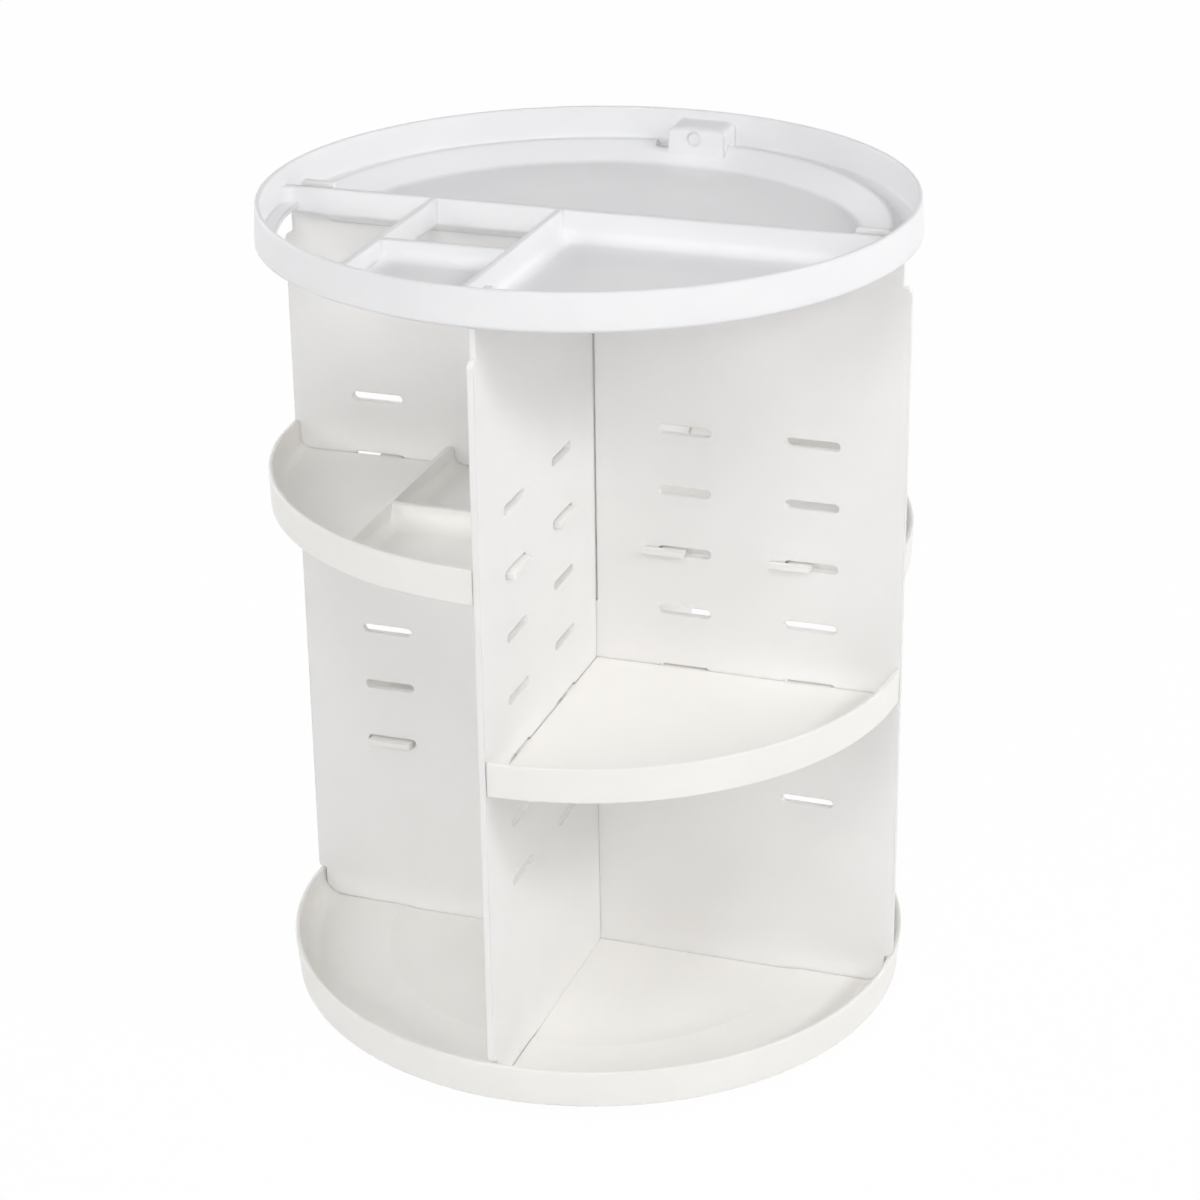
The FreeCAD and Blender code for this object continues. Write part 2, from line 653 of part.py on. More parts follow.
def make_base_tray():
    """The turning tray: rim, stepped floor, pivot boss, ball groove and panel slots."""
    body = new_body("base_tray")
    outer_top = D["CarouselRadius"]
    outer_low = outer_top - D["BaseRimTaper"]
    dish = STEP_RADIUS - D["DishWidth"]
    hole = D["ScrewRadius"] + D["ScrewFit"]
    hole_top = BOSS_BOTTOM + D["ScrewReach"] + D["ScrewFit"]
    floor_edge = outer_low - D["BaseRimWall"]
    section = new_sketch(body, "base_section", "XZ_Plane")
    draw_outline(section, (
        (ZERO, CENTRE_TOP),
        (dish, CENTRE_TOP),
        (STEP_RADIUS, BASE_TOP),
        (floor_edge, BASE_TOP),
        (outer_top - D["BaseRimWall"], BASE_RIM_TOP),
        (outer_top, BASE_RIM_TOP),
        (outer_low, BASE_RIM_BOTTOM),
        (floor_edge, BASE_RIM_BOTTOM),
        (floor_edge, BASE_UNDER),
        (STEP_RADIUS, BASE_UNDER),
        (dish, CENTRE_UNDER),
        (D["PivotRadius"], CENTRE_UNDER),
        (D["PivotRadius"], BOSS_BOTTOM),
        (hole, BOSS_BOTTOM),
        (hole, hole_top),
        (ZERO, hole_top),
    ), rounds={1: D["DishRound"], 3: D["BaseFillet"], 4: D["EdgeRound"],
               5: D["EdgeRound"], 6: D["EdgeRound"]})
    revolve(body, section)
    race = new_sketch(body, "upper_race", "XZ_Plane")
    draw_circle(race, D["RaceRadius"], BALL_CENTRE, D["BallDiameter"] / 2 + D["BallPlay"])
    groove(body, race)
    slots = new_sketch(body, "panel_slots", height=PANEL_FOOT)
    near = STEP_RADIUS - CUT_MARGIN
    far = NECK_HALF + D["NeckGap"]
    side = HALF_PANEL + D["BaseSlotGap"]
    draw_box(slots, near, far, -side, side)
    draw_box(slots, -far, -near, -side, side)
    draw_box(slots, -side, side, near, far)
    draw_box(slots, -side, side, -far, -near)
    cut(body, slots, BASE_RIM_TOP - PANEL_FOOT)


# ---------------------------------------------------------------- panels

def panel_half(tab_inner):
    """Corners of a panel's right half in its own plane, from the foot up."""
    return (
        (NECK_HALF, PANEL_FOOT),
        (NECK_HALF, LOW_SHOULDER),
        (HALF_WIDTH, LOW_SHOULDER),
        (HALF_WIDTH, HIGH_SHOULDER),
        (NECK_HALF, HIGH_SHOULDER),
        (NECK_HALF, PANEL_TOP + D["NeckRise"]),
        (TAB_OUTER, PANEL_TOP + D["NeckRise"]),
        (TAB_OUTER, TAB_TOP),
        (tab_inner, TAB_TOP),
        (tab_inner, PANEL_TOP),
    )


def make_panel(label, role, right_tab_inner, notch_low, notch_high, notch_gap, across_of):
    """A slotted board: necked outline, rows of shelf slots and one halving notch."""
    body = new_body(label)
    outline = new_sketch(body, label + "_outline", role)
    left = tuple((-across, up) for across, up in reversed(panel_half(TAB_INNER)))
    draw_outline(outline, panel_half(right_tab_inner) + left)
    pad(body, outline, D["PanelThickness"], both_ways=True)
    slots = new_sketch(body, label + "_slots", role)
    for column in SLOT_COLUMNS:
        for place in (column, -column):
            draw_slot(slots, place, PANEL_FOOT + D["FirstRow"], D["SlotLength"], D["SlotHeight"])
    row = cut(body, slots, D["PanelThickness"] * 2, both_ways=True)
    rows = body.newObject("PartDesign::LinearPattern", label + "_rows")
    rows.Originals = [row]
    rows.Direction = (origin_part(body, "Z_Axis"), [""])
    rows.Mode = "Spacing"
    bind(rows, "Offset", D["RowPitch"])
    rows.Occurrences = int(D["RowCount"].value)
    rows.setExpression("Occurrences", D["RowCount"].text)
    settle(body, rows)
    notch = new_sketch(body, label + "_notch", role)
    half = HALF_PANEL + notch_gap
    draw_box(notch, -half, half, notch_low, notch_high)
    cut(body, notch, D["PanelThickness"] * 2, both_ways=True)

    def corner(*spots):
        def wanted(edge):
            if len(edge.Vertexes) != 2:
                return False
            ends = [vertex.Point for vertex in edge.Vertexes]
            if abs(across_of(ends[0]) - across_of(ends[1])) > 1e-4:
                return False
            if abs(ends[0].z - ends[1].z) > 1e-4:
                return False
            return any(close_to(abs(across_of(ends[0])), across) and close_to(ends[0].z, up)
                       for across, up in spots)
        return wanted

    round_edges(body, D["ShoulderRound"],
                corner((HALF_WIDTH, LOW_SHOULDER), (HALF_WIDTH, HIGH_SHOULDER)))
    round_edges(body, D["TabRound"],
                corner((TAB_OUTER, TAB_TOP), (TAB_INNER, TAB_TOP), (right_tab_inner, TAB_TOP)))


def make_panels():
    """Panel A is notched from the top and panel B from its foot, so they slide together."""
    end = D["NotchEndGap"] / 2
    make_panel("cross_panel_a", "XZ_Plane", TAB_INNER, NOTCH_LEVEL - end, TAB_TOP,
               D["NotchGapUpper"], lambda point: point.x)
    make_panel("cross_panel_b", "YZ_Plane", BACK_TAB_INNER, PANEL_FOOT - D["PanelThickness"],
               NOTCH_LEVEL + end, D["NotchGapLower"], lambda point: point.y)


# ---------------------------------------------------------------- quarter shelves

def make_shelf(label, row, quarter_turns, divided):
    """A quarter tray whose hooks go through one panel and whose tongues go through the other.

    It is drawn in the back right quarter with z = 0 at the middle of its row of slots, hooks
    along X and tongues along Y, then turned and raised to its place.
    """
    body = new_body(label)
    outer = D["CarouselRadius"]
    low = outer - D["ShelfRimTaper"]
    inner = outer - D["ShelfRimWall"]
    inner_low = low - D["ShelfRimWall"]
    section = new_sketch(body, label + "_section", "XZ_Plane")
    draw_outline(section, (
        (ZERO, SHELF_UNDER),
        (low, SHELF_UNDER),
        (outer, SHELF_RIM_TOP),
        (inner, SHELF_RIM_TOP),
        (inner_low, SHELF_TOP),
        (ZERO, SHELF_TOP),
    ), rounds={1: D["EdgeRound"], 2: D["EdgeRound"], 3: D["EdgeRound"], 4: D["ShelfFillet"]})
    revolve(body, section)
    beyond = outer + CUT_MARGIN
    waste = new_sketch(body, label + "_waste", height=SHELF_UNDER)
    draw_outline(waste, ((SHELF_EDGE, SHELF_EDGE), (SHELF_EDGE, beyond), (-beyond, beyond),
                         (-beyond, -beyond), (beyond, -beyond), (beyond, SHELF_EDGE)))
    cut(body, waste, D["ShelfRimHeight"])
    if divided:
        add_shelf_dividers(body, label)
    fixings = new_sketch(body, label + "_fixings", height=SHELF_UNDER)
    root = SHELF_EDGE + D["ShelfFloor"]
    back = -(HALF_PANEL + D["ShelfPanelGap"])
    tip = back - D["HookThickness"]
    for column in SLOT_COLUMNS:
        neck = column - D["SlotLength"] / 2 + D["HookEndGap"]
        toe = neck - D["HookToe"]
        heel = neck + D["HookNeck"]
        draw_outline(fixings, ((toe, tip), (heel, tip), (heel, root), (neck, root),
                               (neck, back), (toe, back)))
        half = D["TongueWidth"] / 2
        draw_box(fixings, -(HALF_PANEL + D["TongueReach"]), root, column - half, column + half)
    pad(body, fixings, D["ShelfFloor"])
    body.Placement.Rotation = FreeCAD.Rotation(UP, 90 * quarter_turns)
    height = PANEL_FOOT + D["FirstRow"] + D["RowPitch"] * row
    body.setExpression("Placement.Base.z", height.text)
    DOCUMENT.recompute()


def add_shelf_dividers(body, label):
    """A long wall from the hook side to the rim, and a cross wall with a hollow before it."""
    height = D["ShelfRimHeight"] - D["ShelfFloor"] - D["ShelfDividerDrop"]
    top = SHELF_TOP + height
    far = D["LongDividerPlace"] + D["DividerWall"]
    rim_middle = D["CarouselRadius"] - D["ShelfRimWall"] / 2 - D["ShelfRimTaper"] / 2
    long_wall = new_sketch(body, label + "_long_wall", height=SHELF_TOP)
    draw_box(long_wall, D["LongDividerPlace"], far, SHELF_EDGE, other_leg(rim_middle, far))
    pad(body, long_wall, height)
    front = D["CrossDividerPlace"] + D["DividerWall"]
    cross_wall = new_sketch(body, label + "_cross_wall", height=SHELF_TOP)
    draw_box(cross_wall, SHELF_EDGE, D["LongDividerPlace"], D["CrossDividerPlace"], front)
    pad(body, cross_wall, height)

    def free_end(edge):
        ends = [vertex.Point for vertex in edge.Vertexes]
        return (len(ends) == 2
                and all(close_to(end.y, SHELF_EDGE) and close_to(end.z, top) for end in ends))

    def scooped_foot(edge):
        ends = [vertex.Point for vertex in edge.Vertexes]
        return (len(ends) == 2
                and all(close_to(end.y, front) and close_to(end.z, SHELF_TOP) for end in ends))

    round_edges(body, D["DividerEndRound"], free_end)
    round_edges(body, height * SCOOP_SHARE, scooped_foot)
    rim_end = other_leg(rim_middle, D["LongDividerPlace"])
    add_cove(body, label + "_long_cove", "XZ_Plane", D["LongDividerPlace"], -1, SHELF_TOP, 1,
             D["LongDividerCove"], -rim_end, rim_end - SHELF_EDGE)


def make_shelves():
    """Four shelves in the same mould, each a quarter turn on from the last; one is divided."""
    make_shelf("shelf_back_right", 4, 0, False)
    make_shelf("shelf_back_left", 0, 1, False)
    make_shelf("shelf_front_left", 5, 2, True)
    make_shelf("shelf_front_right", 2, 3, False)


# ---------------------------------------------------------------- top tray

def make_top_tray():
    """The lift-off tray: rim, channel, rounded crest, bowl, dividers and open compartments."""
    body = new_body("top_tray")
    section = new_sketch(body, "top_section", "XZ_Plane")
    rim_top = TOP_RIM_OUTER - D["TopRimTaper"]
    draw_outline(section, (
        (ZERO, TOP_FLOOR),
        (BOWL_RADIUS, TOP_FLOOR),
        (CREST_RADIUS, CREST_TOP),
        (CREST_FOOT, FLANGE_TOP),
        (TOP_RIM_INNER, FLANGE_TOP),
        (TOP_RIM_INNER, TOP_RIM_TOP),
        (rim_top, TOP_RIM_TOP),
        (TOP_RIM_OUTER, TOP_RIM_BOTTOM),
        (TOP_RIM_OUTER, TOP_UNDER),
        (ZERO, TOP_UNDER),
    ), rounds={1: D["BowlRound"], 2: D["CrestRound"], 5: D["EdgeRound"], 6: D["EdgeRound"]})
    revolve(body, section)
    cut_open_compartments(body)
    add_floor_dividers(body)
    hollow_underside(body)
    finish_main_divider(body)
    add_open_dividers(body)
    add_key_block(body)
    cut_tab_slots(body)


def cut_open_compartments(body):
    """Take the front left of the bowl out, down to a flange inside the rim."""
    flange = TOP_RIM_INNER - D["FlangeReach"]
    right = -(D["RightDividerPlace"] + D["DividerWall"] / 2)
    back = -(D["MainDividerPlace"] + D["DividerWall"] / 2)
    window = new_sketch(body, "open_compartments", height=TOP_UNDER)
    draw_outline(window, ((right, back), (-other_leg(flange, back).value, back),
                          (right, -other_leg(flange, right).value)), arcs={1: flange})
    cut(body, window, D["TopDepth"])


def add_floor_dividers(body):
    """The main wall across the tray and the right wall forward of it, both on the floor."""
    main_back = -D["MainDividerPlace"]
    main_end = other_leg(TOP_RIM_MIDDLE, MAIN_DIVIDER_FRONT)
    right_end = -other_leg(TOP_RIM_MIDDLE, RIGHT_DIVIDER_FAR)
    walls = (
        ("main", (-main_end, main_end, MAIN_DIVIDER_FRONT, main_back)),
        ("right", (RIGHT_DIVIDER_FAR, -D["RightDividerPlace"], right_end, MAIN_DIVIDER_FRONT)),
    )
    for name, sides in walls:
        plan = new_sketch(body, name + "_wall", height=TOP_FLOOR)
        draw_box(plan, *sides)
        pad(body, plan, TOP_DIVIDER_TOP - TOP_FLOOR)
    right_face = -D["RightDividerPlace"]
    add_cove(body, "main_cove", "YZ_Plane", MAIN_DIVIDER_FRONT, -1, TOP_FLOOR, 1,
             D["TopFillet"], right_face, CREST_RADIUS - right_face)
    add_cove(body, "right_cove", "XZ_Plane", right_face, 1, TOP_FLOOR, 1,
             D["TopFillet"], -MAIN_DIVIDER_FRONT, CREST_RADIUS + MAIN_DIVIDER_FRONT)


def hollow_underside(body):
    """Cut the underside to an even wall: up under the crest, flat under the flange."""
    under = new_sketch(body, "underside", "XZ_Plane")
    bowl = BOWL_RADIUS + D["BowlWallShift"]
    beyond = TOP_RIM_OUTER + D["FlangeInset"]
    draw_outline(under, (
        (bowl, TOP_UNDER),
        (CREST_RADIUS - D["CrestWallInside"], CREST_TOP - D["CrestWallTop"]),
        (CREST_FOOT - D["CrestWallOutside"], FLANGE_UNDER),
        (TOP_RIM_OUTER - D["FlangeInset"], FLANGE_UNDER),
        (beyond, TOP_RIM_BOTTOM + D["FlangeDrop"]),
        (beyond, TOP_UNDER - D["TopFloor"]),
        (bowl, TOP_UNDER - D["TopFloor"]),
    ))
    groove(body, under)


def finish_main_divider(body):
    """Close the main wall over the hollow crest, slope its open foot and fill its rim corner."""
    left_end = -other_leg(TOP_FLANGE_MIDDLE, MAIN_DIVIDER_FRONT)
    closing = new_sketch(body, "main_wall_end", height=TOP_DIVIDER_FOOT)
    draw_box(closing, left_end, -BOWL_RADIUS, MAIN_DIVIDER_FRONT, -D["MainDividerPlace"])
    pad(body, closing, CREST_TOP - TOP_DIVIDER_FOOT)
    clear_front = MAIN_DIVIDER_FRONT - D["DividerWall"]
    clear_under = TOP_UNDER - D["TopFloor"]
    slope = new_sketch(body, "main_undercut", "YZ_Plane", left_end)
    draw_outline(slope, (
        (clear_front, clear_under),
        (-D["UndercutReach"], clear_under),
        (-D["UndercutReach"], TOP_UNDER),
        (MAIN_DIVIDER_FRONT, TOP_DIVIDER_FOOT),
        (clear_front, TOP_DIVIDER_FOOT),
    ))
    cut(body, slope, RIGHT_DIVIDER_FAR - left_end)
    rim_face = -other_leg(TOP_RIM_INNER, MAIN_DIVIDER_FRONT * 2)
    add_cove(body, "main_end_cove", "XY_Plane", rim_face, 1, MAIN_DIVIDER_FRONT, -1,
             D["TopFillet"], FLANGE_TOP - D["FlangeThickness"] / 2,
             TOP_DIVIDER_TOP - FLANGE_TOP + D["FlangeThickness"] / 2)


def add_open_dividers(body):
    """The walls and the raised floor that span the open part, with nothing under them."""
    wall = D["DividerWall"]
    left = -D["LeftDividerPlace"]
    left_far = left - wall
    left_end = -other_leg(TOP_RIM_MIDDLE, left_far)
    left_low_end = -other_leg(TOP_FLANGE_MIDDLE, left_far)
    flange_middle = FLANGE_UNDER + D["FlangeThickness"] / 2
    low = TOP_DIVIDER_FOOT
    pieces = (
        ("left_wall_upper", flange_middle, TOP_DIVIDER_TOP,
         (left_far, left, left_end, MAIN_DIVIDER_FRONT)),
        ("left_wall_lower", low, flange_middle,
         (left_far, left, left_low_end, MAIN_DIVIDER_FRONT)),
        ("top_cross_wall", low, TOP_DIVIDER_TOP,
         (left, RIGHT_DIVIDER_FAR, TOP_CROSS_FRONT, -D["TopCrossPlace"])),
    )
    for name, foot, top, sides in pieces:
        plan = new_sketch(body, name, height=foot)
        draw_box(plan, *sides)
        pad(body, plan, top - foot)
    raised_floor = new_sketch(body, "raised_floor", height=RAISED_FLOOR_UNDER)
    draw_outline(raised_floor, (
        (left, TOP_CROSS_FRONT),
        (left, -other_leg(TOP_FLANGE_MIDDLE, left).value),
        (RIGHT_DIVIDER_FAR, -other_leg(TOP_FLANGE_MIDDLE, RIGHT_DIVIDER_FAR).value),
        (RIGHT_DIVIDER_FAR, TOP_CROSS_FRONT),
    ), arcs={1: TOP_FLANGE_MIDDLE})
    pad(body, raised_floor, D["PocketFloor"])
    add_cove(body, "cross_cove", "YZ_Plane", TOP_CROSS_FRONT, -1,
             RAISED_FLOOR_UNDER + D["PocketFloor"], 1, D["TopFillet"],
             left, RIGHT_DIVIDER_FAR - left)


def add_key_block(body):
    """The rounded block that closes over panel B's back tab, with a dimple in its face."""
    right = KEY_BLOCK_LEFT + D["KeyBlockWidth"]
    plan = new_sketch(body, "key_block", height=FLANGE_UNDER)
    draw_outline(plan, (
        (KEY_BLOCK_LEFT, other_leg(KEY_BLOCK_FRONT, KEY_BLOCK_LEFT).value),
        (right, other_leg(KEY_BLOCK_FRONT, right).value),
        (right, other_leg(TOP_RIM_MIDDLE, right)),
        (KEY_BLOCK_LEFT, other_leg(TOP_RIM_MIDDLE, KEY_BLOCK_LEFT)),
    ), arcs={0: KEY_BLOCK_FRONT})
    pad(body, plan, KEY_BLOCK_TOP - FLANGE_UNDER)

    def block_top(edge):
        points = [vertex.Point for vertex in edge.Vertexes]
        return (len(points) == 2 and all(close_to(point.z, KEY_BLOCK_TOP) for point in points)
                and any(math.hypot(point.x, point.y) < CREST_RADIUS.value for point in points))

    round_edges(body, D["KeyBlockRound"], block_top)
    face = KEY_BLOCK_FRONT + D["KeyDimpleDepth"]
    dimple = new_sketch(body, "key_dimple", "XZ_Plane", -face)
    draw_circle(dimple, KEY_BLOCK_LEFT + D["KeyDimplePlace"], KEY_BLOCK_TOP - D["KeyDimpleDrop"],
                D["KeyDimpleRadius"])
    cut(body, dimple, D["KeyDimpleDepth"] * 2)


def cut_tab_slots(body):
    """Slots for the panels' four tabs, the back one blind, and the notch beside the block."""
    near = TAB_INNER - D["TabGap"]
    far = TAB_OUTER + D["TabGap"]
    side = HALF_PANEL + D["TabGap"]
    slots = new_sketch(body, "tab_slots", height=TOP_UNDER)
    draw_box(slots, near, far, -side, side)
    draw_box(slots, -far, -near, -side, side)
    draw_box(slots, -side, side, -far, -near)
    notch_left = KEY_BLOCK_LEFT - D["KeyNotchWidth"]
    draw_box(slots, notch_left, KEY_BLOCK_LEFT, CREST_RADIUS - D["KeyNotchInset"], far)
    cut(body, slots, D["TopDepth"])
    socket = new_sketch(body, "back_tab_socket", height=TOP_UNDER)
    draw_box(socket, -side, side, BACK_TAB_INNER - D["TabGap"], far)
    cut(body, socket, TAB_TOP + D["TabGap"] - TOP_UNDER)


# ---------------------------------------------------------------- building and writing

def check_document():
    """Stop if any object failed or any sub-part is missing or broken."""
    DOCUMENT.recompute()
    for thing in DOCUMENT.Objects:
        if "Invalid" in thing.State or "Error" in thing.State:
            raise RuntimeError("%s failed: %s" % (thing.Name, thing.State))
    for body in SUBPARTS:
        if body.Shape.isNull() or not body.Shape.isValid():
            raise RuntimeError(body.Label + " has no valid shape")


def write_parts():
    """Write each sub-part to its own STEP file."""
    os.makedirs("parts", exist_ok=True)
    for body in SUBPARTS:
        body.Shape.exportStep("parts/%s.step" % body.Label)
        print("%-26s solids %3d  volume %10.1f" % (body.Label, len(body.Shape.Solids),
                                                   body.Shape.Volume))


make_foot_disc()
make_rubber_feet()
make_ball_cage()
make_bearing_balls()
make_pivot_washer()
make_pivot_screw()
make_base_tray()
make_panels()
make_shelves()
make_top_tray()
check_document()
write_parts()
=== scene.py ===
import math

import bmesh
import bpy
from bpy.props import FloatProperty, PointerProperty, StringProperty
from mathutils import Matrix, Vector

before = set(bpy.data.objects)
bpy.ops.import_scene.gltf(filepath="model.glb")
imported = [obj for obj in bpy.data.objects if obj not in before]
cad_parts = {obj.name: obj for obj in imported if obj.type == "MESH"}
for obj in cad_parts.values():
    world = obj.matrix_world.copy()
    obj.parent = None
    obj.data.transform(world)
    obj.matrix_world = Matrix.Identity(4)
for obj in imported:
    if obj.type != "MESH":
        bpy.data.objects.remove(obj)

bl_info = {
    "name": "Make-up carousel",
    "version": (1, 0, 0),
    "blender": (4, 5, 0),
    "location": "View3D > Sidebar > Carousel",
    "description": "Builds and finishes a turning make-up carousel of white moulded plastic",
    "category": "Object",
}

MM = 0.001
BEVEL_SAMPLES = 4
GLOW_DEPTH = 2.2 * MM         # how far light wanders in the white polypropylene
CAGE_GLOW_DEPTH = 1.5 * MM
PEBBLE_SIZE = 0.8 * MM        # pebbles that the mould leaves on the rubber feet
PEBBLE_HEIGHT = 0.04 * MM
RUBBER_PATCH = 5 * MM
SLICK_SIZE = 3 * MM           # glossier patches on the acetal, where the balls rub it
CAGE_PATCH = 9 * MM
HAZE_SIZE = 1.5 * MM          # polishing haze on the balls
BALL_PATCH = 4 * MM
WAVE_PERIOD = math.tau / 20   # the wave texture's own ring spacing at scale 1
RING_SPACING = 0.785 * MM     # turning rings on the zinc, coarser than their real 0.3 mm
RING_HEIGHT = 0.01 * MM
ZINC_PATCH = 6 * MM
FLOOR_PATCH = 0.6
FLOOR_CELLS = 8
SENSOR_WIDTH = 36.0           # millimetres
LAMP_DISTANCE = 2.4           # metres from the point that the lamps look at
# Each lamp's turn from the front to the right and its height, in degrees, the side of its
# square in metres, and its power in watts.
LAMPS = {
    "lamp_left": (-100.0, 18.0, 1.1, 3.5),
    "lamp_high_left": (-70.0, 38.0, 0.8, 4.4),
    "lamp_front_left": (-60.0, 18.0, 0.6, 4.0),
    "lamp_near_left": (-25.0, 18.0, 0.6, 6.2),
    "lamp_front": (10.0, 18.0, 0.6, 7.5),
    "lamp_high": (10.0, 50.0, 1.1, 14.2),
    "lamp_front_right": (60.0, 33.0, 0.5, 4.5),
    "lamp_low_right": (72.0, 18.0, 0.6, 4.6),
    "lamp_right": (82.0, 33.0, 0.4, 11.6),
    "lamp_back_right": (110.0, 18.0, 1.1, 4.6),
    "lamp_far_right": (142.0, 18.0, 1.1, 14.0),
    "lamp_back_left": (-122.0, 20.0, 1.1, 12.0),
}
PANELS = ("cross_panel_a", "cross_panel_b")
SHELVES = ("shelf_back_right", "shelf_back_left", "shelf_front_left", "shelf_front_right")
BASE = ("base_tray", "foot_disc")
RUBBER_FEET = ("rubber_foot_front_left", "rubber_foot_front_right",
               "rubber_foot_back_right", "rubber_foot_back_left")


# ---------------------------------------------------------------- settings

class FinishSettings(bpy.types.PropertyGroup):
    """Colours and surface sizes of the carousel's materials."""

    cool_white: StringProperty(
        name="Cool white", description="Polypropylene of the top tray", default="#F6F6F8")
    plain_white: StringProperty(
        name="Plain white", description="Polypropylene of the panels", default="#F7F6F5")
    # This white is lighter than the other two. The extra lightness is painted light: it stands in
    # for bounce light from the floor on the base tray, and it lightens the shelves as well.
    warm_white_plus_painted_bounce: StringProperty(
        name="Warm white", description="Polypropylene of the shelves, base tray and foot disc",
        default="#FAF8F4")
    rubber_grey: StringProperty(
        name="Rubber", description="Thermoplastic rubber of the feet", default="#3A3B3D")
    cage_cream: StringProperty(
        name="Acetal", description="Natural acetal of the ball cage", default="#E6E1D2")
    steel_grey: StringProperty(
        name="Steel", description="Polished steel of the balls", default="#C9CCD0")
    zinc_grey: StringProperty(
        name="Zinc plate", description="Zinc-plated steel of the screw and washer",
        default="#BFC3C7")
    edge_round: FloatProperty(
        name="Edge rounding", description="Radius that the mould leaves on every edge",
        default=0.7 * MM, min=0.0, unit="LENGTH")
    tray_round: FloatProperty(
        name="Tray rounding", description="Wider radius in the top tray's corners",
        default=1.6 * MM, min=0.0, unit="LENGTH")
    flow_length: FloatProperty(
        name="Flow waves", description="Length of the shallow waves that moulding leaves",
        default=34 * MM, min=1 * MM, unit="LENGTH")
    flow_height: FloatProperty(
        name="Flow height", description="Height of those waves",
        default=0.2 * MM, min=0.0, unit="LENGTH")
    rub_size: FloatProperty(
        name="Rubbed patches", description="Size of the duller patches that wiping leaves",
        default=12 * MM, min=1 * MM, unit="LENGTH")
    spark_grain: FloatProperty(
        name="Mould grain",
        description="Grain of the mould's satin surface, drawn coarser than its real 0.1 mm",
        default=0.9 * MM, min=0.1 * MM, unit="LENGTH")
    grain_height: FloatProperty(
        name="Grain height", description="Height of that grain",
        default=0.015 * MM, min=0.0, unit="LENGTH")


class StageSettings(bpy.types.PropertyGroup):
    """Camera, lamps and floor."""

    azimuth: FloatProperty(
        name="Azimuth", description="Camera's turn round the carousel",
        default=math.radians(19.39), subtype="ANGLE")
    elevation: FloatProperty(
        name="Elevation", description="Camera's height above the horizon",
        default=math.radians(23.50), subtype="ANGLE")
    roll: FloatProperty(
        name="Roll", description="Camera's turn about its own axis",
        default=math.radians(-0.79), subtype="ANGLE")
    distance: FloatProperty(
        name="Distance", description="Camera to the point it looks at",
        default=1.1462, min=0.1, unit="LENGTH")
    target_height: FloatProperty(
        name="Target height", description="Height of the point that the camera looks at",
        default=0.156, unit="LENGTH")
    focal_length: FloatProperty(
        name="Lens", description="Focal length on a 36 mm sensor, in millimetres",
        default=92.1, min=10.0)
    shift_x: FloatProperty(
        name="Shift X", description="Lens shift as a share of the frame", default=0.0051)
    shift_y: FloatProperty(
        name="Shift Y", description="Lens shift as a share of the frame", default=-0.0057)
    lamp_level: FloatProperty(
        name="Lamps", description="Share of their power that the soft lamps give", default=1.0,
        min=0.0)
    room_light: FloatProperty(
        name="Room light", description="Strength of the even light from all round",
        default=0.03, min=0.0)
    floor_glow: FloatProperty(
        name="Floor white", description="Share of plain white that the camera sees in the floor",
        default=0.98, min=0.0, max=1.0, subtype="FACTOR")
    floor_size: FloatProperty(
        name="Floor", description="Side of the square floor", default=8.0, min=1.0,
        unit="LENGTH")


# ---------------------------------------------------------------- node and material helpers

def linear(code):
    """A hex sRGB colour as linear red, green, blue and a full alpha."""
    levels = [int(code[place:place + 2], 16) / 255 for place in (1, 3, 5)]
    return tuple(level / 12.92 if level <= 0.04045 else ((level + 0.055) / 1.055) ** 2.4
                 for level in levels) + (1.0,)


def shifted(code, factor):
    """A linear colour a little darker or lighter than a hex colour."""
    red, green, blue, alpha = linear(code)
    return (red * factor, green * factor, blue * factor, alpha)


def add_node(tree, kind, links=None, values=None, **settings):
    """Add a node: settings are its attributes, values its sockets, links what feeds them."""
    node = tree.nodes.new(kind)
    for name, value in settings.items():
        setattr(node, name, value)
    for name, value in (values or {}).items():
        node.inputs[name].default_value = value
    for name, source in (links or {}).items():
        tree.links.new(source, node.inputs[name])
    return node


def new_material(name):
    """A material with an empty tree but for its output and a principled shader."""
    material = bpy.data.materials.new(name)
    material.use_nodes = True
    tree = material.node_tree
    tree.nodes.clear()
    shader = add_node(tree, "ShaderNodeBsdfPrincipled")
    add_node(tree, "ShaderNodeOutputMaterial", {"Surface": shader.outputs["BSDF"]})
    return material, tree, shader


def mottled(tree, where, size, dark, light):
    """A colour that wanders between two tones over patches of one size, in metres."""
    noise = add_node(tree, "ShaderNodeTexNoise", {"Vector": where},
                     {"Scale": 1 / size, "Detail": 3.0, "Roughness": 0.5})
    ramp = add_node(tree, "ShaderNodeValToRGB", {"Fac": noise.outputs["Fac"]})
    ramp.color_ramp.elements[0].position = 0.3
    ramp.color_ramp.elements[0].color = dark
    ramp.color_ramp.elements[1].position = 0.7
    ramp.color_ramp.elements[1].color = light
    return ramp.outputs["Color"]


